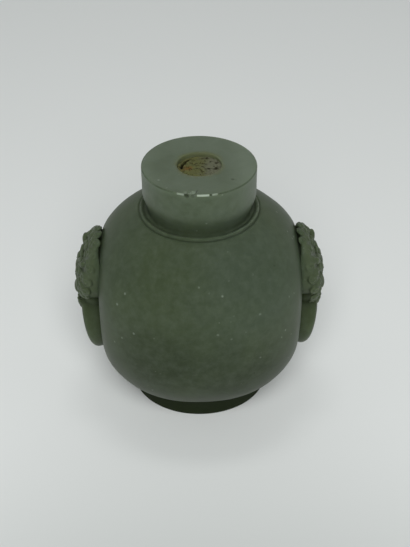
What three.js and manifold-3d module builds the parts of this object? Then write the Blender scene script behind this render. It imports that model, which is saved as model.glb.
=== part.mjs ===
// A snuff bottle of carved nephrite: a rounded body with two flat-cut sides, a lion mask holding a ring in
// relief on each side, a straight neck standing in a groove, a low oval foot, and the stub of a cork left in
// the mouth. Millimetres, +Z up, +X through a mask, origin at the middle of the foot's underside.

import * as THREE from 'three';
import { mergeVertices } from 'three/addons/utils/BufferGeometryUtils.js';
import Module from 'manifold-3d';

const wasm = await Module();
wasm.setup();

// ---- Driving dimensions -------------------------------------------------------------------------------

const HEIGHT = 50;                   // foot to the top of the neck

const BODY = {
  middle: 24.1,                      // height of the widest level
  halfWidth: 21.25,                  // before the sides are cut flat
  halfDepth: 19.8,
  rise: 19.25,                       // from the middle up to where the dome would close
  drop: 22.6,                        // from the middle down to where the bowl would close
  planPower: 2.2,                    // 2 is an ellipse, more is squarer
  risePower: 2.17,
  dropPower: 2.72,
  flat: 19.15,                       // half the distance between the two flat sides
  flatEdgePower: 26,                 // the higher it is, the crisper the edge of the flat
};

const CAVITY = {
  middle: 23,
  halfWidth: 14.6,
  halfDepth: 15.6,
  rise: 15,
  drop: 17,
  planPower: 2.2,
  risePower: 2.3,
  dropPower: 2.3,
};

const BORE_RADIUS = 4;

const NECK = {
  radius: 10.4,
  edge: 0.25,                        // bevel round the top
  waist: 9.5,                        // radius at the bottom, inside the groove
  straightFrom: 44.6,                // below this height the wall curves in to the waist
  root: 41.1,                        // height of the groove's floor
};

const COLLAR = {
  radius: 10.95,                     // outer edge of the raised lip round the groove
  top: 41.35,
  edge: 0.25,
  start: 36,                         // buried in the shoulder
};

const FOOT = {
  halfWidth: 13.2,
  depthRatio: 0.91,                  // its depth over its width
  top: 7,                            // buried in the bowl
  waist: 12.7,
  edge: 0.3,
  rimWidth: 2.7,
  recess: 1.2,
};

const MASK = {
  middle: 28,
  halfWidth: 7.3,
  halfHeight: 7.1,
  outlinePower: 2.3,
  wall: 2.8,                         // height of the upright edge above the flat side
  dome: 0.9,                         // further rise of the face towards its middle
  lean: 0.18,                        // how much further out it stands for each millimetre down
  locks: 13,                         // locks of the mane round the edge
  lockDepth: 0.22,
  root: 2.4,                         // how far it reaches into the stone
};

const CHIN = { middle: 19.4, halfWidth: 1.9, halfHeight: 1.7, reach: 4.5 };

const RING = {
  middle: 15.4,
  radius: 4.4,
  bar: 1.25,                         // half the thickness of the ring
  lift: 1.65,                        // height of the bar's centre line above the flat, at mid-ring
  tilt: 0.2,                         // how much further out it stands for each millimetre up
  root: 1,
};

const CORK = {
  radius: 3.7,
  bottom: 43.6,
  top: 49.2,
  taper: 0.15,
  slopeX: 0.07,                      // the broken top climbs to the right and to the front
  slopeY: -0.05,
  bumps: 0.16,
};

const COLOURS = { jade: 0x66725f, cork: 0x77693f };

// ---- Solids from geometries and back ------------------------------------------------------------------

function solidOf(geometry) {
  const bare = geometry.clone();
  bare.deleteAttribute('normal');
  bare.deleteAttribute('uv');
  const merged = mergeVertices(bare, 1e-4);
  return new wasm.Manifold(new wasm.Mesh({
    numProp: 3,
    vertProperties: new Float32Array(merged.attributes.position.array),
    triVerts: new Uint32Array(merged.index.array),
  }));
}

function geometryOf(solid) {
  const mesh = solid.getMesh();
  const geometry = new THREE.BufferGeometry();
  geometry.setAttribute('position', new THREE.BufferAttribute(mesh.vertProperties, 3));
  geometry.setIndex(new THREE.BufferAttribute(mesh.triVerts, 1));
  geometry.computeVertexNormals();
  return geometry;
}

// ---- Shapes -------------------------------------------------------------------------------------------

const signedPower = (value, power) => Math.sign(value) * Math.abs(value) ** power;

// A profile of [radius, height] pairs turned round the Z axis.
function turned(profile, segments) {
  const points = profile.map(([radius, height]) => new THREE.Vector2(radius, height));
  return new THREE.LatheGeometry(points, segments).rotateX(Math.PI / 2);
}

// Moves every vertex of a geometry to where place(x, y, z) puts it.
function reshaped(geometry, place) {
  const position = geometry.attributes.position;
  for (let i = 0; i < position.count; i += 1) {
    position.setXYZ(i, ...place(position.getX(i), position.getY(i), position.getZ(i)));
  }
  return geometry;
}

// A rounded, slightly square form: a unit profile, turned and stretched to the plan of the size given.
function roundedForm(size, segments, steps) {
  const profile = [];
  for (let i = 0; i <= 2 * steps; i += 1) {
    const angle = (i / steps - 1) * Math.PI / 2;
    const above = angle > 0;
    const power = 2 / (above ? size.risePower : size.dropPower);
    const radius = i % (2 * steps) === 0 ? 0 : Math.cos(angle) ** power;
    const height = signedPower(Math.sin(angle), power) * (above ? size.rise : size.drop);
    profile.push([radius, size.middle + height]);
  }
  return reshaped(turned(profile, segments), (x, y, z) => {
    const radius = Math.hypot(x, y);
    const bearing = Math.atan2(y, x);
    const across = size.halfWidth * radius * signedPower(Math.cos(bearing), 2 / size.planPower);
    const deep = size.halfDepth * radius * signedPower(Math.sin(bearing), 2 / size.planPower);
    return [size.flat ? flattened(across, size) : across, deep, z];
  });
}

// Squeezes x so that it never passes the flat side, with a softly rounded edge.
function flattened(x, size) {
  return x / (1 + Math.abs(x / size.flat) ** size.flatEdgePower) ** (1 / size.flatEdgePower);
}

// ---- Neck, lip and foot -------------------------------------------------------------------------------

function neckWithLip() {
  const curve = 4;
  const profile = [
    [0, COLLAR.start],
    [COLLAR.radius, COLLAR.start],
    [COLLAR.radius, COLLAR.top - COLLAR.edge],
    [COLLAR.radius - COLLAR.edge, COLLAR.top],
    [COLLAR.radius - 2 * COLLAR.edge, COLLAR.top - COLLAR.edge / 2],
    [NECK.waist + COLLAR.edge, NECK.root],
  ];
  for (let i = 0; i <= curve; i += 1) {
    const angle = i / curve * Math.PI / 2;
    profile.push([
      NECK.waist + (NECK.radius - NECK.waist) * Math.sin(angle),
      NECK.root + COLLAR.edge + (NECK.straightFrom - NECK.root) * (1 - Math.cos(angle)),
    ]);
  }
  profile.push(
    [NECK.radius, HEIGHT - NECK.edge],
    [NECK.radius - NECK.edge, HEIGHT],
    [0, HEIGHT],
  );
  return turned(profile, 64);
}

function foot() {
  const inner = FOOT.halfWidth - FOOT.rimWidth;
  const profile = [
    [0, FOOT.recess],
    [inner - FOOT.edge, FOOT.recess],
    [inner, FOOT.recess - FOOT.edge],
    [inner, 0],
    [FOOT.halfWidth - FOOT.edge, 0],
    [FOOT.halfWidth, FOOT.edge],
    [FOOT.waist, FOOT.top],
    [0, FOOT.top],
  ];
  return turned(profile, 56).scale(1, FOOT.depthRatio, 1);
}

// ---- The carved sides ---------------------------------------------------------------------------------

// A soft round bump of the given height, with its middle at (u0, v0).
function bump(u, v, u0, v0, width, tall, height) {
  return height * Math.exp(-(((u - u0) / width) ** 2) - (((v - v0) / tall) ** 2));
}

// How far the lion's features stand out of the face: u is across, v is up, both from the mask's middle.
function features(u, v) {
  const side = Math.abs(u);
  return bump(side, v, 2.7, 1.1, 1.1, 1.0, 0.75)        // eyes
    + bump(side, v, 2.9, 2.9, 2.2, 0.8, 0.7)            // brows
    + bump(u, v, 0, -1.6, 1.3, 1.7, 0.75)               // nose
    + bump(side, v, 1.9, -3.6, 1.7, 1.3, 0.75)          // muzzle
    - bump(side, v, 1.2, 0.9, 0.7, 1.3, 0.35);          // hollow beside the nose
}

// The mask on the +X side: a low dome with an upright, curled edge.
function mask() {
  const profile = [[0, -MASK.root], [1, -MASK.root], [1, MASK.wall * 0.65]];
  const steps = 8;
  for (let i = 0; i <= steps; i += 1) {
    const radius = 0.9 * (1 - i / steps);
    profile.push([radius, MASK.wall + MASK.dome * (1 - radius ** 2)]);
  }
  const locks = (bearing) => 1 + MASK.lockDepth / MASK.halfWidth * Math.cos(MASK.locks * bearing);
  return reshaped(turned(profile, 4 * MASK.locks), (x, y, z) => {
    const radius = Math.hypot(x, y);
    const bearing = Math.atan2(y, x);
    const reach = radius * (radius > 0.6 ? locks(bearing) : 1);
    const u = MASK.halfWidth * reach * signedPower(Math.cos(bearing), 2 / MASK.outlinePower);
    const v = MASK.halfHeight * reach * signedPower(Math.sin(bearing), 2 / MASK.outlinePower);
    const out = z > 0 ? z - MASK.lean * v + features(u, v) : z;
    return [BODY.flat + out, u, MASK.middle + v];
  });
}

// The chin, which closes over the top of the ring.
function chin() {
  return new THREE.SphereGeometry(1, 14, 10)
    .scale(CHIN.reach, CHIN.halfWidth, CHIN.halfHeight)
    .translate(BODY.flat, 0, CHIN.middle);
}

// The ring on the +X side: a bar bent round, rooted in the flat and leaning out towards the mouth.
function ring() {
  const inner = RING.radius - RING.bar;
  const outer = RING.radius + RING.bar;
  const profile = [[inner, -RING.root], [outer, -RING.root]];
  const steps = 6;
  for (let i = 0; i <= steps; i += 1) {
    const angle = i / steps * Math.PI;
    profile.push([RING.radius + RING.bar * Math.cos(angle), RING.lift + RING.bar * Math.sin(angle)]);
  }
  profile.push([inner, -RING.root]);
  return reshaped(turned(profile, 36), (x, y, z) => {
    const out = z > 0 ? z + RING.tilt * y : z;
    return [BODY.flat + out, x, RING.middle + y];
  });
}

// ---- The two pieces -----------------------------------------------------------------------------------

function bottle() {
  const well = new THREE.CylinderGeometry(COLLAR.radius - 0.05, COLLAR.radius - 0.05, 10, 64)
    .rotateX(Math.PI / 2)
    .translate(0, 0, NECK.root - 0.6 + 5);
  let stone = solidOf(roundedForm(BODY, 64, 12))
    .subtract(solidOf(well))
    .add(solidOf(neckWithLip()))
    .add(solidOf(foot()));
  for (const turn of [0, Math.PI]) {
    stone = stone
      .add(solidOf(mask().rotateZ(turn)))
      .add(solidOf(chin().rotateZ(turn)))
      .add(solidOf(ring().rotateZ(turn)));
  }
  const bore = new THREE.CylinderGeometry(BORE_RADIUS, BORE_RADIUS, HEIGHT, 40)
    .rotateX(Math.PI / 2)
    .translate(0, 0, CAVITY.middle + HEIGHT / 2);
  return stone
    .subtract(solidOf(roundedForm(CAVITY, 32, 7)))
    .subtract(solidOf(bore));
}

function corkStub() {
  const profile = [[0, CORK.bottom], [CORK.radius - CORK.taper, CORK.bottom]];
  const steps = 4;
  for (let i = 0; i <= steps; i += 1) {
    profile.push([CORK.radius * (1 - i / steps), CORK.top]);
  }
  return reshaped(turned(profile, 24), (x, y, z) => {
    const rough = CORK.bumps * Math.sin(2.1 * x + 1) * Math.cos(1.7 * y);
    return [x, y, z < CORK.top ? z : z + CORK.slopeX * x + CORK.slopeY * y + rough];
  });
}

// ---- The bottle as one group --------------------------------------------------------------------------

const materials = {
  jade: new THREE.MeshStandardMaterial({ color: COLOURS.jade, roughness: 0.35, metalness: 0 }),
  cork: new THREE.MeshStandardMaterial({ color: COLOURS.cork, roughness: 0.95, metalness: 0 }),
};

function named(name, solid, material) {
  const mesh = new THREE.Mesh(geometryOf(solid), material);
  mesh.name = name;
  return mesh;
}

const snuffBottle = new THREE.Group();
snuffBottle.add(named('bottle', bottle(), materials.jade));
snuffBottle.add(named('cork_stub', solidOf(corkStub()), materials.cork));

export default snuffBottle;
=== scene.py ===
# A carved jade snuff bottle: the visible stone and the stub of its cork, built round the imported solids.
#
# Shapes are worked out in millimetres and made metres in the last step, in finished(). +Z is up the neck and
# +X runs out through a mask. The reliefs are laid out on a mask of their own: u runs across it, v runs up it
# and out is the height above the flat-cut side.

import math

import bmesh
import bpy
from bpy.props import FloatProperty, FloatVectorProperty, IntProperty, PointerProperty
from mathutils import Matrix, Vector, noise


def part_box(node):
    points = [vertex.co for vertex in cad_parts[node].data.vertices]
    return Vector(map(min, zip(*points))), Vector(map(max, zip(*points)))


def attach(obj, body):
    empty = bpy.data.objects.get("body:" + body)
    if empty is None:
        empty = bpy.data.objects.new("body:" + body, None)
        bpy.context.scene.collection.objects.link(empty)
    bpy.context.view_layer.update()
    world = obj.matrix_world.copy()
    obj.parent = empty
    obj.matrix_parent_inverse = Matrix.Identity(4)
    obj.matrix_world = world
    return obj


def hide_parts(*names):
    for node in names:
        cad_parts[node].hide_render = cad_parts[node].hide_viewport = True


bl_info = {
    "name": "Carved Jade Snuff Bottle",
    "version": (1, 0, 0),
    "blender": (4, 5, 0),
    "location": "View3D > Sidebar > Snuff Bottle",
    "description": "A hollow jade bottle with lion masks in relief, its broken cork, and a plain stage",
    "category": "Add Mesh",
}

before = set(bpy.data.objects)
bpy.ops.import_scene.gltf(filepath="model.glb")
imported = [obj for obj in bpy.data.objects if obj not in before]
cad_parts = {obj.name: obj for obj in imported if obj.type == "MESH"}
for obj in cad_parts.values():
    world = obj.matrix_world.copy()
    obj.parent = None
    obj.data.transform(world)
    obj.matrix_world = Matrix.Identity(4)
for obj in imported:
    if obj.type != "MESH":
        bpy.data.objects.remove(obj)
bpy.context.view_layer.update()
MM = 0.001
STONE_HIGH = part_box("bottle")[1]
CORK_LOW, CORK_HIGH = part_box("cork_stub")


# ---- Sizes and colours a user would change --------------------------------------------------------------

def length(name, description, default):
    """A length in metres, shown in the scene's unit."""
    return FloatProperty(name=name, description=description, default=default, min=0, unit="LENGTH", precision=5)


def colour(name, description, default):
    """A colour in linear light."""
    return FloatVectorProperty(name=name, description=description, default=default, size=3, min=0, max=1,
                               subtype="COLOR")


class StoneSizes(bpy.types.PropertyGroup):
    height: length("Height", "Foot to the top of the neck", STONE_HIGH.z)
    half_depth: length("Half depth", "Middle to the front of the body", STONE_HIGH.y)
    half_width: length("Half width", "Middle to the side of the body, before it is cut flat", 0.02125)
    flat: length("Flat side", "Middle to each flat-cut side", 0.01915)
    middle: length("Widest level", "Height of the body's widest level", 0.0241)
    rise: length("Rise", "Widest level to where the shoulder's curve would close", 0.01925)
    drop: length("Drop", "Widest level to where the bowl's curve would close", 0.0226)
    neck_radius: length("Neck radius", "Radius of the neck's straight wall", 0.0104)
    waist_radius: length("Waist radius", "Radius of the neck inside its groove", 0.0095)
    lip_radius: length("Lip radius", "Outer radius of the raised lip round the neck", 0.01095)
    lip_height: length("Lip height", "Height of the raised lip's top", 0.04135)
    foot_radius: length("Foot radius", "Half width of the foot", 0.0132)
    bore_radius: length("Bore radius", "Radius of the drilled mouth", 0.004)
    segments: IntProperty(name="Segments", description="Faces round the bottle", default=176, min=24)


class ReliefSizes(bpy.types.PropertyGroup):
    mask_middle: length("Mask height", "Height of the mask's middle", 0.028)
    mask_half_width: length("Mask half width", "Half the mask's width", 0.0073)
    mask_half_height: length("Mask half height", "Half the mask's height", 0.0071)
    mask_jaw: length("Mask jaw", "The mask's middle to its lower edge", 0.0047)
    mask_height: length("Mask relief", "How far the mask's jaw stands above the flat side", 0.0043)
    ring_middle: length("Ring height", "Height of the ring's middle", 0.0154)
    ring_radius: length("Ring radius", "Middle of the ring to the middle of its bar", 0.0044)
    ring_bar: length("Ring bar", "Half the thickness of the ring's bar", 0.00125)
    grain: length("Grain", "Finest detail the carving keeps", 0.00012)
    locks: IntProperty(name="Locks", description="Curls of mane round the mask's edge", default=19, min=8)


class CorkSizes(bpy.types.PropertyGroup):
    radius: length("Radius", "Radius where the cork fills the bore", 0.00396)
    crack_radius: length("Crack radius", "Middle to the crack round the cork's left side", 0.0032)
    crack: length("Crack", "Half the width of the crack", 0.00022)


class Colours(bpy.types.PropertyGroup):
    # Also laid as painted shade low on the body and at its front.
    jade_deep: colour("Deep jade", "The dark olive heart of the stone", (0.014, 0.023, 0.007))
    jade_mid: colour("Jade", "The stone's main grey-green", (0.044, 0.061, 0.031))
    # Also laid as painted light on the neck and as a painted highlight on the lip.
    jade_pale: colour("Pale jade", "The pale stone of the neck and shoulder", (0.120, 0.150, 0.110))
    # Its cloud on the upper front is partly a painted sheen.
    jade_blue: colour("Blue jade", "The cooler cloud in the upper body", (0.054, 0.073, 0.054))
    # Also laid as painted shade in the groove, in the carving's hollows and on the foot.
    grime: colour("Grime", "Old dirt in the carving and the groove", (0.008, 0.012, 0.004))
    chip: colour("Fresh break", "Stone bared by a chip", (0.360, 0.420, 0.350))
    mask: colour("Carved jade", "The olive stone of the masks and rings", (0.075, 0.095, 0.050))
    cork: colour("Cork", "The yellow-brown body of the cork", (0.095, 0.100, 0.038))
    cork_grey: colour("Grey cork", "The greyer, crusted side of the cork", (0.110, 0.115, 0.075))
    # Also laid as painted shade in the crack round the cork's left side.
    cork_dark_and_shade: colour("Dark cork", "Holes and old stain in the cork", (0.012, 0.010, 0.002))
    cork_ochre: colour("Ochre cork", "The rusty patch of the cork", (0.120, 0.070, 0.018))
    floor: colour("Floor", "The pale floor", (0.790, 0.815, 0.805))
    # The colour of the painted shadow on the floor's near side.
    floor_shadow: colour("Dull floor", "The floor where it dulls", (0.240, 0.265, 0.245))


def millimetres(group):
    """A group's lengths in millimetres and its whole numbers as they are, by name."""
    sizes = {}
    for name in group.bl_rna.properties.keys():
        if name in group.__annotations__:
            value = getattr(group, name)
            sizes[name] = value if isinstance(value, int) else value / MM
    return sizes


class Sizes:
    """The same lengths as attributes."""

    def __init__(self, group):
        self.__dict__.update(millimetres(group))


# ---- Modelling --------------------------------------------------------------------------------------------

def turned(points, segments):
    """A form turned round Z from (radius, height) points that start and end on the axis."""
    form = bmesh.new()
    verts = [form.verts.new((radius, 0, height)) for radius, height in points]
    edges = [form.edges.new(pair) for pair in zip(verts, verts[1:])]
    bmesh.ops.spin(form, geom=verts + edges, axis=(0, 0, 1), cent=(0, 0, 0), dvec=(0, 0, 0),
                   angle=2 * math.pi, steps=segments, use_merge=True, use_duplicate=False)
    bmesh.ops.remove_doubles(form, verts=form.verts, dist=1e-4)
    bmesh.ops.recalc_face_normals(form, faces=form.faces)
    return form


def joined(target, form, matrix=None):
    """Moves a form by a matrix and adds it to the target."""
    if matrix is not None:
        form.transform(matrix)
        if matrix.determinant() < 0:
            bmesh.ops.reverse_faces(form, faces=form.faces)
    mesh = bpy.data.meshes.new("form")
    form.to_mesh(mesh)
    form.free()
    target.from_mesh(mesh)
    bpy.data.meshes.remove(mesh)


def thing(name, form):
    """An object in the scene from a form, which is used up."""
    mesh = bpy.data.meshes.new(name)
    form.to_mesh(mesh)
    form.free()
    obj = bpy.data.objects.new(name, mesh)
    bpy.context.scene.collection.objects.link(obj)
    return obj


def settled(obj):
    """Makes an object's modifiers part of its mesh."""
    bpy.context.view_layer.update()
    evaluated = obj.evaluated_get(bpy.context.evaluated_depsgraph_get())
    mesh = bpy.data.meshes.new_from_object(evaluated)
    old = obj.data
    obj.modifiers.clear()
    obj.data = mesh
    mesh.name = obj.name
    bpy.data.meshes.remove(old)
    return obj


def combined(obj, other, operation):
    """Joins, cuts or keeps the common part of two closed forms, and uses the other one up."""
    modifier = obj.modifiers.new(operation.lower(), "BOOLEAN")
    modifier.object = other
    modifier.operation = operation
    modifier.solver = "MANIFOLD"
    settled(obj)
    bpy.data.objects.remove(other)
    return obj


def carved(obj, grain, smoothing, kept=1.0):
    """Merges overlapping closed forms into one skin, softens it as polishing does and thins it."""
    remesh = obj.modifiers.new("one skin", "REMESH")
    remesh.mode = "VOXEL"
    remesh.voxel_size = grain
    soften = obj.modifiers.new("polish", "SMOOTH")
    soften.factor = 0.5
    soften.iterations = smoothing
    if kept < 1:
        thin = obj.modifiers.new("thin", "DECIMATE")
        thin.ratio = kept
    return settled(obj)


def finished(obj, material, replaced, crease=math.radians(38)):
    """Takes a shape from millimetres to metres, gives it its material and hangs it on the frame."""
    obj.data.transform(Matrix.Scale(MM, 4))
    obj.data.materials.clear()
    obj.data.materials.append(material)
    obj.data.shade_smooth()
    obj.data.set_sharp_from_angle(angle=crease)
    obj.data.validate()
    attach(obj, "root")
    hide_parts(replaced)
    return obj


def signed_power(value, power):
    return math.copysign(abs(value) ** power, value)


def blend_between(low, high, value):
    """0 below low, 1 above high, and smooth between."""
    share = min(max((value - low) / (high - low), 0), 1)
    return share * share * (3 - 2 * share)


def arc(centre, radius, start, end, steps):
    """Points on an arc in a profile, with angles in degrees."""
    turn = [math.radians(start + (end - start) * i / steps) for i in range(steps + 1)]
    return [(centre[0] + radius * math.cos(a), centre[1] + radius * math.sin(a)) for a in turn]


# ---- The body, neck and foot --------------------------------------------------------------------------

PLAN_POWER = 2.2
RISE_POWER = 2.17
DROP_POWER = 2.72
FLAT_EDGE_POWER = 26
FOOT_RATIO = 0.91               # the foot's depth as a share of its width
BROAD_WAVE, BROAD_HEIGHT = 0.11, 0.10       # waves a millimetre, and their height in millimetres
CLOSE_WAVE, CLOSE_HEIGHT = 0.33, 0.03


def body_radius(size, height):
    """Half width of the body at a height, before the sides are cut flat."""
    above = height > size.middle
    reach, power = (size.rise, RISE_POWER) if above else (size.drop, DROP_POWER)
    share = min(abs(height - size.middle) / reach, 1)
    return size.half_width * (1 - share ** power) ** (1 / power)


def outer_profile(size):
    """The outside from the middle of the underside to the middle of the neck's top."""
    foot, lip, neck, waist = size.foot_radius, size.lip_radius, size.neck_radius, size.waist_radius
    lip_top = size.lip_height
    recess, rim = 1.2, 2.7
    points = [(0, recess), (4, recess), (8, recess)]
    points += arc((foot - rim - 0.5, recess - 0.4), 0.4, 90, 0, 4)
    points += arc((foot - rim + 0.15, 0.15), 0.15, 180, 270, 3)
    points += arc((foot - 0.35, 0.35), 0.35, 270, 360, 5)
    points += [(foot - 0.12, 1.3), (foot - 0.2, 2.3), (foot - 0.22, 3.2), (foot - 0.12, 3.75)]
    start, end = 4.05, lip_top - 0.52
    steps = 84
    for i in range(steps + 1):
        share = (1 - math.cos(math.pi * (i / steps) ** 0.9)) / 2
        height = start + (end - start) * share
        points.append((body_radius(size, height), height))
    points += [(lip + 0.3, lip_top - 0.54), (lip + 0.16, lip_top - 0.56), (lip + 0.04, lip_top - 0.42)]
    points += arc((lip - 0.24, lip_top - 0.24), 0.24, 10, 130, 7)
    points += [(lip - 0.6, lip_top - 0.22), (lip - 0.8, lip_top - 0.38), (waist + 0.34, lip_top - 0.42)]
    points += [(waist + 0.1, lip_top - 0.28), (waist, lip_top + 0.05), (waist + 0.06, lip_top + 0.6)]
    points += [(waist + 0.28, lip_top + 1.35), (waist + 0.56, lip_top + 2.05)]
    points += [(neck - 0.13, lip_top + 2.7), (neck - 0.02, lip_top + 3.4)]
    points += [(neck, size.height - height) for height in (4.4, 3.6, 2.8, 2.0, 1.2, 0.6)]
    points += arc((neck - 0.22, size.height - 0.22), 0.22, 0, 90, 5)
    points += [(radius, size.height) for radius in (neck - 0.8, 8.4, 7, 5.6, 4.8, 2, 0)]
    return points


def flattened(x, size):
    """Squeezes x so that it never passes the flat side, with a softly rounded edge."""
    return x / (1 + abs(x / size.flat) ** FLAT_EDGE_POWER) ** (1 / FLAT_EDGE_POWER)


def give_plan(form, size, ratio, power, cut_flat):
    """Turns round sections into rounded-square ones; ratio and power depend on the height."""
    for vert in form.verts:
        x, y, z = vert.co
        radius = math.hypot(x, y)
        if radius < 1e-6:
            continue
        roundness = 2 / power(z)
        across = radius * signed_power(x / radius, roundness)
        deep = radius * ratio(z) * signed_power(y / radius, roundness)
        vert.co.x = flattened(across, size) if cut_flat else across
        vert.co.y = deep


def outer_form(size):
    form = turned(outer_profile(size), size.segments)
    depth = size.half_depth / size.half_width
    start, end = size.lip_height - 5, size.lip_height - 0.6

    def ratio(z):
        low = FOOT_RATIO + (depth - FOOT_RATIO) * blend_between(3.4, 6, z)
        return low + (1 - low) * blend_between(start, end, z)

    def power(z):
        return 2 + (PLAN_POWER - 2) * blend_between(3.4, 6, z) * (1 - blend_between(start, end, z))

    give_plan(form, size, ratio, power, cut_flat=True)
    uneven(form, size)
    return form


def uneven(form, size):
    """The slight waves that hand grinding leaves; the foot's rim and the neck's top stay flat."""
    form.normal_update()
    for vert in form.verts:
        z = vert.co.z
        swell = blend_between(3.5, 8, z) * (1 - blend_between(size.height - 3, size.height - 0.5, z))
        broad = noise.noise(vert.co * BROAD_WAVE) * BROAD_HEIGHT
        close = noise.noise(vert.co * CLOSE_WAVE + Vector((5, 2, 8))) * CLOSE_HEIGHT
        vert.co += vert.normal * (broad + close) * swell


def inner_form(size):
    """The hollow and the drilled bore, as one cutter."""
    middle, rise, drop, half_width, half_depth, power = 23, 15, 17, 14.6, 15.6, 2.3
    bore = size.bore_radius
    points = []
    steps = 40
    for i in range(steps + 1):
        angle = (i / steps - 0.5) * math.pi
        reach = rise if angle > 0 else drop
        radius = half_width * max(math.cos(angle), 0) ** (2 / power)
        height = middle + reach * signed_power(math.sin(angle), 2 / power)
        if angle > 0 and radius < bore + 0.4:
            break
        points.append((radius, height))
    points += [(bore + 0.1, 37.9), (bore, 38.6), (bore, 41), (bore, 44), (bore, 47)]
    points += [(bore, size.height - 0.2), (bore + 0.06, size.height - 0.06), (bore + 0.2, size.height + 0.02)]
    points += [(bore + 0.2, size.height + 1), (0, size.height + 1)]
    form = turned(points, 96)
    depth = half_depth / half_width

    def ratio(z):
        return depth + (1 - depth) * blend_between(34, 37.5, z)

    def plan(z):
        return PLAN_POWER + (2 - PLAN_POWER) * blend_between(34, 37.5, z)

    give_plan(form, size, ratio, plan, cut_flat=False)
    return form


# ---- The carved sides ---------------------------------------------------------------------------------

OUTLINE_POWER = 2.3
CROWN = 0.26                    # how much lower the mask's face is at its outline than in its middle
LEAN, LEAN_FROM, LEAN_POWER = 0.042, -4.5, 1.8      # how the mask leans back above its jaw
RING_TILT = 0.2                 # how much further out the ring stands for each millimetre up
HALF_TURN = Matrix.Rotation(math.pi, 4, "Z")
POLISHING = 2                   # rounds of smoothing that soften the carving
KEPT = 0.42                     # share of the carving's triangles that is kept
CURL_TURNS = 1.15


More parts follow.
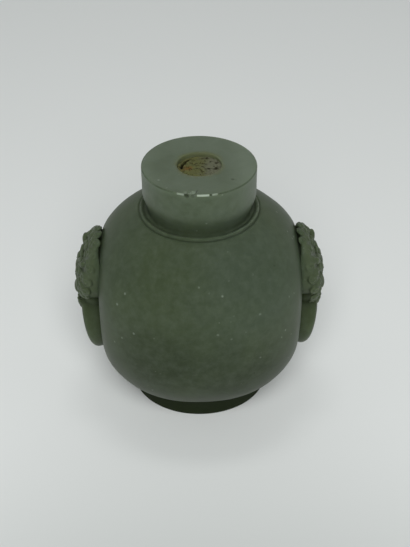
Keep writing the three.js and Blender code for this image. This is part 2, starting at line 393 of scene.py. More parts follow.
class Relief:
    """A lion mask with a ring, as overlapping solid forms on the +X side, in millimetres."""

    def __init__(self, size, stone):
        self.size = size
        self.flat = stone.flat
        self.middle = size.mask_middle
        self.form = bmesh.new()

    def reach(self, u, v):
        """0 in the middle of the mask and 1 on its outline, which is shorter below the middle."""
        size = self.size
        half_height = size.mask_half_height if v > 0 else size.mask_jaw
        across = abs(u / size.mask_half_width) ** OUTLINE_POWER
        return (across + abs(v / half_height) ** OUTLINE_POWER) ** (1 / OUTLINE_POWER)

    def bow(self, v):
        """Height of the mask's middle line above the flat side: it leans out from brow to jaw."""
        return self.size.mask_height - LEAN * max(v - LEAN_FROM, 0) ** LEAN_POWER

    def ground(self, u, v):
        """Height of the plain face above the flat side."""
        return self.bow(v) * (1 - CROWN * min(self.reach(u, v), 1) ** 2)

    def place(self, u, v, lift=0.0):
        """A point at (u, v) on the mask, lifted off its plain face."""
        return Vector((self.flat + self.ground(u, v) + lift, u, self.middle + v))

    def lump(self, at, radii, turn=0.0, detail=3):
        """A rounded lump: radii are out, along and across, and turn is in degrees within the face."""
        form = bmesh.new()
        bmesh.ops.create_icosphere(form, subdivisions=detail, radius=1)
        matrix = Matrix.Translation(at) @ Matrix.Rotation(math.radians(turn), 4, "X")
        joined(self.form, form, matrix @ Matrix.Diagonal((*radii, 1)))

    def blob(self, u, v, radii, lift=0.0, turn=0.0, detail=3):
        self.lump(self.place(u, v, lift), radii, turn, detail)

    def strand(self, points, thick, thin):
        """A row of overlapping beads through the points, from thick to thin."""
        form = bmesh.new()
        last = len(points) - 1
        for i, point in enumerate(points):
            radius = thick + (thin - thick) * i / last
            bmesh.ops.create_icosphere(form, subdivisions=2, radius=radius, matrix=Matrix.Translation(point))
        joined(self.form, form)

    def sweep(self, centre, radii, start, end, lift, side=1, steps=14):
        """Points on an arc over the face, with angles in degrees."""
        points = []
        for i in range(steps + 1):
            angle = math.radians(start + (end - start) * i / steps)
            u, v = centre[0] + radii[0] * math.cos(angle), centre[1] + radii[1] * math.sin(angle)
            points.append(self.place(side * u, v, lift))
        return points

    def curl(self, centre, outward, radius, hand):
        """A lock of mane: a low boss with a strand wound on it, facing outward."""
        across = outward.cross(Vector((0, 0, 1))).normalized()
        up = across.cross(outward).normalized()
        form = bmesh.new()
        bmesh.ops.create_icosphere(form, subdivisions=3, radius=1)
        turn = Matrix((across, up, outward)).transposed().to_4x4()
        boss = Matrix.Diagonal((radius, radius, radius * 0.36, 1))
        joined(self.form, form, Matrix.Translation(centre) @ turn @ boss)
        points = []
        steps = 20
        for i in range(steps + 1):
            share = i / steps
            angle = hand * (share * CURL_TURNS * 2 * math.pi + 0.8)
            reach = radius * (0.84 - 0.68 * share)
            rise = radius * (0.13 + 0.24 * share)
            aside = across * reach * math.cos(angle) + up * reach * math.sin(angle)
            points.append(centre + aside + outward * rise)
        self.strand(points, radius * 0.21, radius * 0.19)

    def pad(self):
        """The plain block of the mask with its upright wall, as shares of its height."""
        size = self.size
        edge = 0.9
        profile = [(0, -0.3), (0.97, -0.3), (1, 0), (1, 0.42), (0.99, 0.54), (0.965, 0.65), (0.935, 0.72)]
        steps = 12
        reaches = [edge * (1 - i / steps) for i in range(steps + 1)]
        profile += [(reach, 1 - CROWN * reach ** 2) for reach in reaches]
        pad = turned(profile, 80)
        for vert in pad.verts:
            x, y, share = vert.co
            reach = math.hypot(x, y)
            u = v = 0
            if reach > 1e-6:
                half_height = size.mask_half_height if y > 0 else size.mask_jaw
                u = size.mask_half_width * reach * signed_power(x / reach, 2 / OUTLINE_POWER)
                v = half_height * reach * signed_power(y / reach, 2 / OUTLINE_POWER)
            vert.co = (self.flat + share * self.bow(v), u, self.middle + v)
        bmesh.ops.recalc_face_normals(pad, faces=pad.faces)
        joined(self.form, pad)

    def mane(self):
        """Rows of curls: two on the mask's wall and shoulder, and one on the face round the brow."""
        size = self.size
        # Each row: curls, reach on the mask, radius, how far they face aside, lift, first and last bearing.
        rows = (
            (size.locks - 4, 0.985, 1.05, 1.9, -0.8, -50, 230),
            (size.locks - 5, 0.86, 1.08, 0.5, -0.16, -46, 226),
            (size.locks - 10, 0.6, 0.95, 0.15, -0.14, -8, 188),
        )
        for count, reach, radius, tip, lift, start, end in rows:
            for i in range(count):
                bearing = math.radians(start + (end - start) * i / (count - 1))
                u = size.mask_half_width * reach * math.cos(bearing)
                v = (size.mask_half_height if bearing > 0 else size.mask_jaw) * reach * math.sin(bearing)
                outward = Vector((1, tip * math.cos(bearing), tip * math.sin(bearing))).normalized()
                self.curl(self.place(u, v, lift), outward, radius, 1 if u > 0 else -1)

    def face(self):
        """Brows, eyes, nose, muzzle, lips, fangs, whisker dots and ears; radii are out, along and across."""
        for side in (-1, 1):
            self.strand(self.sweep((2.25, 0.95), (1.9, 1.6), 15, 172, 0.25, side), 0.36, 0.58)
            self.blob(side * 2.3, 0.75, (0.8, 1.1, 0.95), 0.05)
            self.strand(self.sweep((2.3, 0.75), (1.2, 0.95), -168, -12, 0.2, side), 0.18, 0.18)
            self.strand(self.sweep((2.3, 0.75), (1.24, 1.04), 8, 172, 0.3, side), 0.22, 0.22)
            self.strand(self.sweep((2.25, 0.72), (0.42, 0.42), 0, 360, 0.78, side), 0.11, 0.11)
            self.blob(side * 0.95, -1.75, (0.5, 0.75, 0.58), 0.05)
            self.blob(side * 1.75, -3.1, (0.75, 1.65, 1.15), 0.25, -14 * side)
            self.blob(side * 3.75, -1.2, (0.5, 1.1, 1.35), 0.05, 20 * side)
            self.strand(self.sweep((1.75, -3.2), (1.95, 1.3), -150, 10, 0.3, side), 0.28, 0.2)
            self.strand([self.place(side * 2.0, -4.4, 0.1), self.place(side * 1.95, -5.5, -0.3)], 0.4, 0.2)
            for row in range(2):
                for spot in range(3):
                    u, v = side * (1.15 + 0.7 * spot), -2.95 - 0.6 * row
                    self.blob(u, v, (0.14, 0.14, 0.14), 0.78 - 0.1 * spot, 0, 1)
        self.blob(0, -0.3, (0.6, 0.58, 2.1), 0.1)
        self.blob(0, -1.75, (0.62, 0.95, 0.8), 0.1)
        self.blob(0, 2.7, (0.4, 0.7, 0.9), 0.2)
        self.blob(0, 4.1, (0.35, 0.5, 0.7), 0.15)
        for side in (-1, 1):
            self.blob(side * 4.25, 3.3, (0.65, 0.7, 1.25), 0.25, -38 * side)

    def ring(self):
        """The ring, rooted in the flat side on a neck a little narrower than its bar."""
        size = self.size
        bar, radius = size.ring_bar, size.ring_radius
        lift = 1.6
        profile = [(radius - 0.82 * bar, -1), (radius + 0.82 * bar, -1), (radius + 0.86 * bar, lift * 0.4)]
        profile += [(radius + bar * math.cos(a), lift + bar * math.sin(a))
                    for a in (math.radians(-20 + 220 * i / 16) for i in range(17))]
        profile += [(radius - 0.86 * bar, lift * 0.4)]
        form = bmesh.new()
        verts = [form.verts.new((r, 0, z)) for r, z in profile]
        edges = [form.edges.new(pair) for pair in zip(verts, verts[1:] + verts[:1])]
        bmesh.ops.spin(form, geom=verts + edges, axis=(0, 0, 1), cent=(0, 0, 0), dvec=(0, 0, 0),
                       angle=2 * math.pi, steps=72, use_merge=True, use_duplicate=False)
        bmesh.ops.remove_doubles(form, verts=form.verts, dist=1e-4)
        for vert in form.verts:
            x, y, z = vert.co
            out = z + RING_TILT * y * blend_between(-0.5, 1, z)
            vert.co = (self.flat + out, x, size.ring_middle + y)
        bmesh.ops.recalc_face_normals(form, faces=form.faces)
        joined(self.form, form)

    def chin(self):
        """The lower lip and a tuft of beard closing over the top of the ring."""
        top = self.size.ring_middle + self.size.ring_radius
        lobes = (
            (0, 2.2, 2.6, (1.5, 2.3, 0.75)),
            (0, 0.0, 3.3, (1.25, 1.1, 1.5)),
            (1.15, 0.2, 3.0, (1.2, 0.85, 1.35)),
            (-1.15, 0.2, 3.0, (1.2, 0.85, 1.35)),
        )
        for u, v, out, radii in lobes:
            self.lump(Vector((self.flat + out, u, top + v)), radii)
        for u in (-1.5, -0.5, 0.5, 1.5):
            tuft = [Vector((self.flat + 4.2 - 0.16 * u * u - 0.16 * i, u * (1 - 0.08 * i), top + 0.9 - 0.42 * i))
                    for i in range(7)]
            self.strand(tuft, 0.42, 0.22)
        self.lump(Vector((self.flat + 1.2, 0, top + 1.2)), (2.2, 2.6, 1.9))

    def build(self):
        for part in (self.pad, self.mane, self.face, self.ring, self.chin):
            part()
        return self.form


# ---- Damage to the neck's front edge ----------------------------------------------------------------------

CHIP_GRAIN = 0.06
CHIP_WAVE, CHIP_UNEVENNESS = 1.7, 0.22


def chips(size):
    """Small cutters along the front of the neck's top edge: a flake, pits, shallow nicks and a crack."""
    cutters = bmesh.new()
    front, top = -size.neck_radius, size.height
    # Each cutter: its place, its radii and its turn in degrees.
    shapes = (
        (-1.75, front + 0.45, top + 0.22, (1.15, 0.95, 0.36), 6),
        (-2.4, front + 0.3, top - 0.1, (0.34, 0.3, 0.5), 0),
        (-1.3, front + 0.12, top - 0.05, (0.42, 0.3, 0.34), 30),
        (0.45, front - 0.1, top + 0.06, (1.1, 0.24, 0.24), 0),
        (1.75, front + 0.12, top - 0.02, (0.17, 0.2, 0.25), 0),
        (2.5, front - 0.03, top + 0.1, (0.5, 0.2, 0.18), 14),
        (-3.4, front + 0.3, top + 0.1, (0.7, 0.2, 0.18), -18),
    )
    for seed, (x, y, z, radii, turn) in enumerate(shapes):
        form = bmesh.new()
        bmesh.ops.create_icosphere(form, subdivisions=3, radius=1)
        for vert in form.verts:
            wave = noise.noise(vert.co * CHIP_WAVE + Vector((seed * 3.1, 0, 4)))
            vert.co *= 1 + CHIP_UNEVENNESS * wave
        matrix = Matrix.Translation((x, y, z)) @ Matrix.Rotation(math.radians(turn), 4, "Z")
        joined(cutters, form, matrix @ Matrix.Diagonal((*radii, 1)))
    crack = bmesh.new()
    bmesh.ops.create_cube(crack, size=1)
    matrix = Matrix.Translation((-0.75, front + 0.85, top)) @ Matrix.Rotation(math.radians(-14), 4, "Z")
    joined(cutters, crack, matrix @ Matrix.Diagonal((0.13, 1.9, 0.5, 1)))
    return cutters


# ---- Materials --------------------------------------------------------------------------------------------

class Socket:
    """A shader socket that takes part in Python arithmetic by adding Math nodes."""

    def __init__(self, tree, socket):
        self.tree = tree
        self.socket = socket

    def maths(self, operation, *values, clamp=False):
        node = self.tree.nodes.new("ShaderNodeMath")
        node.operation = operation
        node.use_clamp = clamp
        for slot, value in zip(node.inputs, values):
            if isinstance(value, Socket):
                self.tree.links.new(value.socket, slot)
            else:
                slot.default_value = value
        return Socket(self.tree, node.outputs[0])

    def __add__(self, other):
        return self.maths("ADD", self, other)

    def __radd__(self, other):
        return self.maths("ADD", other, self)

    def __sub__(self, other):
        return self.maths("SUBTRACT", self, other)

    def __rsub__(self, other):
        return self.maths("SUBTRACT", other, self)

    def __mul__(self, other):
        return self.maths("MULTIPLY", self, other)

    def __rmul__(self, other):
        return self.maths("MULTIPLY", other, self)

    def __truediv__(self, other):
        return self.maths("DIVIDE", self, other)

    def __pow__(self, other):
        return self.maths("POWER", self, other)

    def __abs__(self):
        return self.maths("ABSOLUTE", self)

    def clamped(self):
        return self.maths("ADD", self, 0, clamp=True)


class Shading:
    """A material or a world under construction."""

    def __init__(self, owner):
        self.owner = owner
        owner.use_nodes = True
        self.tree = owner.node_tree
        self.tree.nodes.clear()

    def node(self, kind, settings=None, inputs=None, output=0):
        """Adds a node, gives it its settings first and then its values or links."""
        node = self.tree.nodes.new("ShaderNode" + kind)
        for name, value in (settings or {}).items():
            if name == "stops":
                self.set_stops(node.color_ramp, value)
            else:
                setattr(node, name, value)
        for name, value in (inputs or {}).items():
            if isinstance(value, Socket):
                self.tree.links.new(value.socket, node.inputs[name])
            else:
                node.inputs[name].default_value = value
        return Socket(self.tree, node.outputs[output])

    @staticmethod
    def set_stops(ramp, stops):
        while len(ramp.elements) > 1:
            ramp.elements.remove(ramp.elements[-1])
        for i, (position, grey) in enumerate(stops):
            element = ramp.elements[0] if i == 0 else ramp.elements.new(position)
            element.position = position
            element.color = (grey, grey, grey, 1)

    def place(self):
        """Object coordinates in metres."""
        return self.node("TexCoord", output="Object")

    def along(self, place, axis):
        """One coordinate of a place, in millimetres."""
        return self.node("SeparateXYZ", inputs={"Vector": place}, output=axis) / MM

    def noise(self, place, size_mm, detail=3.0, roughness=0.5, distortion=0.0):
        """Noise from 0 to 1, with clouds of about the size given."""
        return self.node("TexNoise", inputs={"Vector": place, "Scale": 1 / (size_mm * MM), "Detail": detail,
                                             "Roughness": roughness, "Distortion": distortion}, output="Fac")

    def ramp(self, value, low, high):
        """0 below low, 1 above high, and smooth between."""
        return self.node("MapRange", {"interpolation_type": "SMOOTHSTEP"},
                         {"Value": value, "From Min": low, "From Max": high}, output="Result")

    def band(self, value, rise, fall):
        """1 between two soft edges, each given by where it starts and ends."""
        return self.ramp(value, *rise) * (1 - self.ramp(value, *fall))

    def mix(self, factor, first, second):
        """Colours mixed by a factor; each may be a socket or a linear colour."""
        node = self.tree.nodes.new("ShaderNodeMix")
        node.data_type = "RGBA"
        colour_inputs = [socket for socket in node.inputs if socket.type == "RGBA"]
        for slot, value in zip([node.inputs[0], *colour_inputs], (factor, first, second)):
            if isinstance(value, Socket):
                self.tree.links.new(value.socket, slot)
            elif slot.type == "RGBA":
                slot.default_value = (*value, 1)
            else:
                slot.default_value = value
        return Socket(self.tree, next(socket for socket in node.outputs if socket.type == "RGBA"))

    def near(self, place, centre_mm, radius_mm):
        """1 at a point and 0 from the radius outwards."""
        centre = [value * MM for value in centre_mm]
        away = self.node("VectorMath", {"operation": "DISTANCE"}, {0: place, 1: centre}, output="Value")
        return 1 - self.ramp(away / MM, radius_mm * 0.35, radius_mm)

    def bump(self, height, strength, distance_mm):
        inputs = {"Strength": strength, "Distance": distance_mm * MM, "Height": height}
        return self.node("Bump", inputs=inputs, output="Normal")

    def surface(self, **values):
        """The shader itself, with socket names written with underscores."""
        inputs = {name.replace("_", " "): value for name, value in values.items()}
        return self.output("ShaderNodeOutputMaterial", self.node("BsdfPrincipled", inputs=inputs))

    def output(self, kind, shader):
        self.tree.links.new(shader.socket, self.tree.nodes.new(kind).inputs["Surface"])
        return self.owner


FLECK_CELLS, SPECK_CELLS = 620.0, 330.0     # cells a metre that may hold a pale fleck or a dark speck
HOLLOW_REACH = 0.0013                       # metres within which a hollow counts as sheltered


class Jade:
    """The stone's finish, laid on from its cloudy depth to its specks, dirty rim, chips and painted light and
    shade.
    """

    def __init__(self, colours, stone):
        self.finish = Shading(bpy.data.materials.new("grey_green_jade"))
        self.colours = colours
        self.stone = stone
        self.place = self.finish.place()
        self.x, self.y, self.z = (self.finish.along(self.place, axis) for axis in "XYZ")
        self.radius = (self.x ** 2 + self.y ** 2) ** 0.5
        self.clouds = self.finish.noise(self.place, 13, 3, 0.5, 0.5)
        self.patches = self.finish.noise(self.place, 5, 4, 0.6, 0.9)
        self.mottle = self.finish.noise(self.place, 1.5, 5, 0.65)
        self.grain = self.finish.noise(self.place, 0.28, 3, 0.6)

    def lay(self, factor, name):
        """Lays one of the colours over what is there."""
        self.base = self.finish.mix(factor, self.base, tuple(getattr(self.colours, name)))

    def spots(self, cells, low, high):
        """Small round spots, one to a cell."""
        away = self.finish.node("TexVoronoi", inputs={"Vector": self.place, "Scale": cells}, output="Distance")
        return 1 - self.finish.ramp(away, low, high)

    def body(self):
        """Grey-green with deep olive clouds; painted shade darkens it low down and at the front, and a cool
        cloud on the upper front is partly a painted sheen.
        """
        finish, place = self.finish, self.place
        # Painted shade: the body darkens towards the bottom.
        low = 1 - finish.ramp(self.z, 10, 35)
        # Painted shade at the front of the body.
        front_shade = finish.near(place, (-8, -18, 20), 10) * 0.4 + finish.near(place, (10, -17, 12), 9) * 0.45
        depth = (low * 0.8 + front_shade + (self.patches - 0.5) * 1.1 + (self.clouds - 0.5) * 1.2).clamped()
        self.base = finish.mix(depth, tuple(self.colours.jade_mid), tuple(self.colours.jade_deep))
        # The cool cloud is partly a painted sheen on the upper front.
        cool_and_sheen = (finish.near(place, (9, -14, 34), 16) * 0.6 + (self.clouds - 0.45) * 1.2).clamped()
        self.lay(cool_and_sheen * (1 - low * 0.7) * 0.8, "jade_blue")

    def neck(self):
        """The neck is paler stone, and painted light makes it paler still at its sides, on top and at the back.
        """
        finish, top, lip = self.finish, self.stone.height, self.stone.lip_height
        # Painted light on the neck's sides, top and back.
        pale = 0.3 + 0.42 * finish.ramp(abs(self.x + 1), 5, 10.5)
        pale = pale + 0.25 * finish.ramp(self.z, top - 1.2, top - 0.2) + 0.12 * finish.ramp(self.y, 0, 8)
        pale = pale + (self.clouds - 0.5) * 0.7 + (self.patches - 0.5) * 0.5
        self.lay((finish.ramp(self.z, lip - 0.6, lip + 6.5) * pale).clamped(), "jade_pale")

    def mottling(self):
        """Fine cloudy mottling, then small pale flecks and a few dark specks."""
        finish, place = self.finish, self.place
        self.lay(((self.mottle - 0.5) * 0.7 + (self.patches - 0.5) * 0.3 + 0.08).clamped(), "jade_pale")
        few = finish.ramp(finish.noise(place, 2.6, 1), 0.58, 0.66)
        self.lay(self.spots(FLECK_CELLS, 0.06, 0.2) * few * 0.3, "chip")
        rare = finish.ramp(finish.noise(place, 4.2, 1), 0.63, 0.67)
        self.specks = self.spots(SPECK_CELLS, 0.05, 0.16) * rare
        self.lay(self.specks * 0.6, "grime")

    def shaded_hollows(self):
        """Painted shade darkens the groove round the neck, a thin painted shadow lies just outside the lip, and
        painted shade fills the hollows of the carving, whose stone is also tinted olive.
        """
        finish, z, radius = self.finish, self.z, self.radius
        lip, edge, flat = self.stone.lip_height, self.stone.lip_radius, self.stone.flat
        inside = 1 - finish.ramp(radius, edge - 0.7, edge - 0.45)
        # Painted shade in the groove, and a painted shadow just outside the lip.
        groove = finish.band(z, (lip - 0.9, lip - 0.3), (lip, lip + 1.8)) * inside
        lip_shadow = finish.band(radius, (edge, edge + 0.1), (edge + 0.2, edge + 0.5))
        lip_shadow = lip_shadow * finish.ramp(z, lip - 1, lip - 0.7)
        # Painted shade in the carving's hollows, from ambient occlusion.
        open_sky = finish.node("AmbientOcclusion", {"samples": 8}, {"Distance": HOLLOW_REACH}, output="AO")
        sides = finish.ramp(abs(self.x), flat - 0.3, flat + 0.5)
        neck_shade = (groove * 0.3 + lip_shadow * 0.35) * (0.5 + self.patches)
        carving_shade = (1 - open_sky) * sides * 0.9 * (0.4 + self.patches)
        self.groove_and_hollow_shade = (neck_shade + carving_shade).clamped()
        self.lay(sides * 0.35, "mask")
        self.lay(self.groove_and_hollow_shade * 0.85, "grime")

    def polished_lip_highlight(self):
        """The lip round the groove is polished smooth, and a painted highlight lightens its crest."""
        finish, lip, edge = self.finish, self.stone.lip_height, self.stone.lip_radius
        crest = finish.band(self.radius, (edge - 0.6, edge - 0.45), (edge, edge + 0.2))
        worn = finish.ramp(self.z, lip - 0.14, lip - 0.02) * crest
        self.worn = worn * finish.ramp(self.mottle, 0.36, 0.6)
        # Painted highlight on the lip's crest.
        self.lay(self.worn * 0.35, "jade_pale")

    def shaded_foot(self):
        """The foot is unpolished, and painted shade makes it nearly black."""
        self.foot = 1 - self.finish.ramp(self.z + (self.patches - 0.5) * 1.2, 3.6, 4.6)
        # Painted shade on the foot.
        self.lay(self.foot * 0.9, "grime")

    def chipped_edge(self):
        """The top edge is dirty, and its front is chipped to fresh stone round dark pits."""
        finish, place, x = self.finish, self.place, self.x
        front, top = -self.stone.neck_radius, self.stone.height
        edge = abs(self.radius - self.stone.neck_radius + 0.08) + abs(self.z - top + 0.08)
        rim = (1 - finish.ramp(edge, 0.1, 0.3)) * finish.ramp(self.mottle + self.patches, 0.8, 1.15)
        self.lay(rim * 0.55, "jade_deep")
        nick = finish.band(x, (-0.7, -0.5), (1.4, 1.6)) + finish.band(x, (1.95, 2.1), (2.8, 3.1)) * 0.5
        nick = nick + finish.band(x, (-4.2, -3.9), (-2.95, -2.75)) * 0.5
        nick = (nick * (1 - finish.ramp(edge, 0.16, 0.34))).clamped() * (1 - finish.ramp(self.y, -9, -8.5))
        flake = finish.near(place, (-1.8, front + 0.7, top), 1.5) * finish.ramp(self.z, top - 0.5, top - 0.1)
        self.broken = (nick * 0.85 + flake * finish.ramp(self.mottle, 0.52, 0.6) * 0.3).clamped()
        self.lay(self.broken, "chip")
        pits = finish.near(place, (-2.4, front + 0.25, top - 0.15), 0.62)
        pits = pits + finish.near(place, (1.75, front + 0.15, top), 0.3)
        pits = pits + finish.near(place, (-1.3, front + 0.1, top - 0.1), 0.5) * 0.6
        self.lay(pits.clamped() * 0.95, "grime")

    def stained_mouth(self):
        """The mouth is stained by its cork, unevenly."""
        finish, top, bore = self.finish, self.stone.height, self.stone.bore_radius
        spread = self.radius + (self.patches - 0.5) * 2.2 + (self.mottle - 0.5) * 1.6
        self.stain = 1 - finish.ramp(spread, bore - 0.2, bore + 1.0)
        self.lay(self.stain * 0.6 * finish.ramp(self.z, top - 4, top - 1), "cork")

    def material(self):
        for layer in (self.body, self.neck, self.mottling, self.shaded_hollows, self.polished_lip_highlight, self.shaded_foot,
                      self.chipped_edge, self.stained_mouth):
            layer()
        finish = self.finish
        stretch = {"Vector": self.place, "Rotation": (0.2, 0.9, 0.4), "Scale": (1, 1, 14)}
        streaks = finish.node("Mapping", inputs=stretch)
        scratch = finish.ramp(finish.noise(streaks, 2.2, 2, 0.5), 0.66, 0.72)
        rough = 0.46 + (self.mottle - 0.5) * 0.2 + (self.grain - 0.5) * 0.08 + (self.groove_and_hollow_shade + self.foot) * 0.35
        rough = rough - self.worn * 0.14 + self.broken * 0.4 + scratch * 0.06
        height = self.grain * 0.25 + self.mottle * 0.5 - scratch * 0.15 - self.specks * 0.8
        height = height + self.stain * self.mottle * 2
        return finish.surface(
            Base_Color=self.base, Roughness=rough.clamped(), IOR=1.6, Specular_IOR_Level=0.3,
            Specular_Tint=(0.85, 1.0, 0.7, 1), Subsurface_Weight=0.35, Subsurface_Radius=(0.9, 1.0, 0.6),
            Subsurface_Scale=0.0022, Normal=finish.bump(height, 0.35, 0.05))


def cork(colours):
    finish = Shading(bpy.data.materials.new("broken_cork"))
    place = finish.place()
    crumbs = finish.noise(place, 0.7, 4, 0.65)
    lumps = finish.noise(place, 2.2, 3, 0.6, 0.6)
    x, y = (finish.along(place, axis) for axis in "XY")
    right = finish.ramp(x + (lumps - 0.5) * 4, -0.6, 2.2)
    base = finish.mix(right, tuple(colours.cork), tuple(colours.cork_grey))
    rusty = finish.near(place, (-2.3, -0.6, 49.8), 1.5) * finish.ramp(lumps, 0.3, 0.6)
    base = finish.mix(rusty, base, tuple(colours.cork_ochre))
    base = finish.mix((1 - finish.ramp(crumbs, 0.36, 0.48)) * 0.8, base, tuple(colours.cork_dark_and_shade))
    bearing = y.maths("ARCTAN2", y, x)
    radius = (x ** 2 + y ** 2) ** 0.5
    # Painted shade in the crack round the cork's left side.
    crack = (1 - finish.ramp(abs(radius - 3.2), 0.1, 0.4)) * (1 - finish.ramp(abs(bearing - 2.65), 0.45, 0.8))
    pits = finish.near(place, (1.7, -1.1, 49.9), 0.45) + finish.near(place, (2.9, -1.2, 49.9), 0.6) + crack
    base = finish.mix(pits.clamped(), base, tuple(colours.cork_dark_and_shade))
    return finish.surface(Base_Color=base, Roughness=0.85 + crumbs * 0.15, IOR=1.4,
                          Normal=finish.bump(crumbs + lumps * 0.5, 0.9, 0.25))


def pale_floor(colours):
    """A painted shadow darkens the floor softly in a patch at the near side."""
    finish = Shading(bpy.data.materials.new("pale_floor"))
    place = finish.place()
    tone = finish.noise(place, 60, 3, 0.5)
    ends = {0: place, 1: (0, -0.13, 0)}
    away = finish.node("VectorMath", {"operation": "DISTANCE"}, ends, output="Value") / MM
    # Painted shadow on the near side of the floor.
    near_shadow = (1 - finish.ramp(away, 40, 128)) * 0.62 + tone * 0.02
    base = finish.mix(near_shadow, tuple(colours.floor), tuple(colours.floor_shadow))
    return finish.surface(Base_Color=base, Roughness=0.9 + tone * 0.05)


# ---- Operators --------------------------------------------------------------------------------------------

class SNUFFBOTTLE_OT_stone(bpy.types.Operator):
    """Carve the bottle: body, neck, foot, hollow, bore, both reliefs and the chipped edge"""

    bl_idname = "snuffbottle.stone"
    bl_label = "Jade bottle"

    def execute(self, context):
        scene = context.scene
        size = Sizes(scene.snuffbottle_stone)
        relief = Sizes(scene.snuffbottle_relief)
        stone = thing("jade_bottle", outer_form(size))
        side = carved(thing("relief", Relief(relief, size).build()), relief.grain, POLISHING, KEPT)
        other = bpy.data.objects.new("relief", side.data.copy())
        scene.collection.objects.link(other)
        other.data.transform(HALF_TURN)
        combined(stone, side, "UNION")
        combined(stone, other, "UNION")
        combined(stone, thing("hollow", inner_form(size)), "DIFFERENCE")
        damage = thing("damage", chips(size))
        carved(damage, CHIP_GRAIN, 0)
        combined(stone, damage, "DIFFERENCE")
        finished(stone, Jade(scene.snuffbottle_colours, size).material(), "bottle")
        return {"FINISHED"}


CRACK_BEARING, CRACK_SPREAD = 152, 30       # degrees round the cork


class SNUFFBOTTLE_OT_cork(bpy.types.Operator):
    """Model the broken stub of cork wedged in the mouth"""

    bl_idname = "snuffbottle.cork"
    bl_label = "Cork stub"

    def execute(self, context):
        scene = context.scene
        size = Sizes(scene.snuffbottle_cork)
        bottom, top = CORK_LOW.z / MM, CORK_HIGH.z / MM - 0.02
        rings = 40
        profile = [(0, bottom), (size.radius * 0.9, bottom), (size.radius, bottom + 0.6)]
        profile += [(size.radius, top - 2), (size.radius, top - 0.8)]
        profile += [(size.radius * (1 - i / rings), top) for i in range(rings + 1)]
        form = turned(profile, 96)
        for vert in form.verts:
            self.weather(vert, size, top)
        obj = thing("broken_cork", form)
        finished(obj, cork(scene.snuffbottle_colours), "cork_stub")
        return {"FINISHED"}

    @staticmethod
    def weather(vert, size, top):
        """Tilts, roughens and pits the broken top, and opens a crack near its left edge."""
        x, y, z = vert.co
        upper = blend_between(top - 2, top, z)
        radius = math.hypot(x, y)
        bearing = math.degrees(math.atan2(y, x)) % 360
        broken = noise.fractal(vert.co * 0.8, 0.8, 2.1, 5) * 0.16
        pits = max(noise.noise(vert.co * 2.2 + Vector((9, 1, 3))) - 0.15, 0) * 0.7
        crack = math.exp(-((radius - size.crack_radius - broken * 0.8) / size.crack) ** 2)
        crack *= math.exp(-((bearing - CRACK_BEARING) / CRACK_SPREAD) ** 2)
        edge = blend_between(0.85 * size.radius, size.radius, radius) * 0.12
        vert.co.z += upper * (0.03 * x - 0.05 * y + broken - pits - edge - crack)


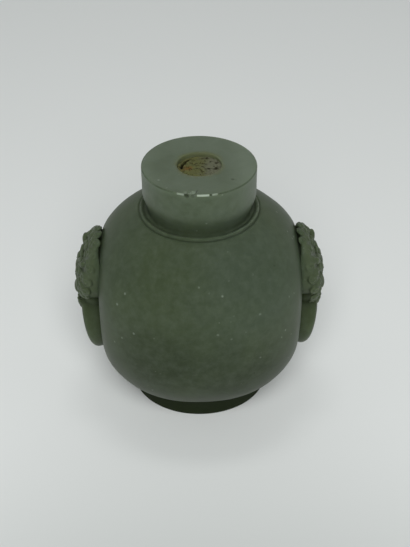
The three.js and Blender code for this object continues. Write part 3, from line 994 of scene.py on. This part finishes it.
class SNUFFBOTTLE_OT_stage(bpy.types.Operator):
    """Lay the pale floor and set the soft lights, the sky and the camera"""

    bl_idname = "snuffbottle.stage"
    bl_label = "Stage"

    def execute(self, context):
        scene = context.scene
        form = bmesh.new()
        bmesh.ops.create_circle(form, cap_ends=True, segments=96, radius=3000)
        floor = thing("floor", form)
        floor.data.transform(Matrix.Scale(MM, 4))
        floor.data.materials.append(pale_floor(scene.snuffbottle_colours))
        self.panel("softbox", (0, -0.62, 0.62), width=0.5, height=0.5, power=6.7, mirrored=False)
        self.panel("glint", (0, 0.14, 0.8), width=0.25, height=0.12, power=0.6, mirrored=True)
        self.sky(scene)
        self.camera(scene)
        scene.view_settings.view_transform = "Standard"
        return {"FINISHED"}

    @staticmethod
    def aim(obj, place, target):
        obj.location = place
        obj.rotation_euler = (Vector(target) - Vector(place)).to_track_quat("-Z", "Y").to_euler()
        bpy.context.scene.collection.objects.link(obj)

    def panel(self, name, place, width, height, power, mirrored):
        light = bpy.data.lights.new(name, "AREA")
        light.shape = "RECTANGLE"
        light.size = width
        light.size_y = height
        light.energy = power
        obj = bpy.data.objects.new(name, light)
        obj.visible_glossy = mirrored
        self.aim(obj, place, (0, 0, 0.01))

    @staticmethod
    def sky(scene):
        """Dim on the near side and overhead, and bright low down at the back and sides."""
        sky = Shading(bpy.data.worlds.new("soft_sky"))
        way = sky.node("TexCoord", output="Generated")
        back = sky.ramp(sky.node("SeparateXYZ", inputs={"Vector": way}, output="Y"), -0.5, 0.35)
        high = sky.node("SeparateXYZ", inputs={"Vector": way}, output="Z")
        strength = 0.10 + 0.38 * back * (1 - 0.55 * high)
        light = sky.node("Background", inputs={"Color": (0.97, 1.0, 0.99, 1), "Strength": strength})
        scene.world = sky.output("ShaderNodeOutputWorld", light)

    def camera(self, scene):
        """The camera stands a little to the left of straight ahead, so the left side shows more."""
        distance, elevation, yaw = 0.211, math.radians(36.5), math.radians(1.6)
        target = Vector((0.00105, 0, 0.0257))
        place = target + distance * Vector((0, -math.cos(elevation), math.sin(elevation)))
        turn = Matrix.Rotation(-yaw, 3, "Z")
        camera = bpy.data.cameras.new("camera")
        camera.sensor_width = 36
        camera.lens = 72.4
        obj = bpy.data.objects.new("camera", camera)
        self.aim(obj, turn @ place, turn @ target)
        scene.camera = obj


class SNUFFBOTTLE_PT_panel(bpy.types.Panel):
    """Lists the steps and the sizes"""

    bl_idname = "SNUFFBOTTLE_PT_panel"
    bl_label = "Snuff Bottle"
    bl_space_type = "VIEW_3D"
    bl_region_type = "UI"
    bl_category = "Snuff Bottle"

    def draw(self, context):
        for operator in OPERATORS:
            self.layout.operator(operator.bl_idname)
        for attribute, group in GROUPS.items():
            box = self.layout.box()
            for name in group.__annotations__:
                box.prop(getattr(context.scene, attribute), name)


OPERATORS = (SNUFFBOTTLE_OT_stone, SNUFFBOTTLE_OT_cork, SNUFFBOTTLE_OT_stage)
GROUPS = {
    "snuffbottle_stone": StoneSizes,
    "snuffbottle_relief": ReliefSizes,
    "snuffbottle_cork": CorkSizes,
    "snuffbottle_colours": Colours,
}


def register():
    for cls in (*GROUPS.values(), *OPERATORS, SNUFFBOTTLE_PT_panel):
        bpy.utils.register_class(cls)
    for attribute, group in GROUPS.items():
        setattr(bpy.types.Scene, attribute, PointerProperty(type=group))


def unregister():
    for attribute in GROUPS:
        delattr(bpy.types.Scene, attribute)
    for cls in reversed((*GROUPS.values(), *OPERATORS, SNUFFBOTTLE_PT_panel)):
        bpy.utils.unregister_class(cls)


def main():
    register()
    bpy.ops.snuffbottle.stone()
    bpy.ops.snuffbottle.cork()
    bpy.ops.snuffbottle.stage()


if __name__ == "__main__":
    main()
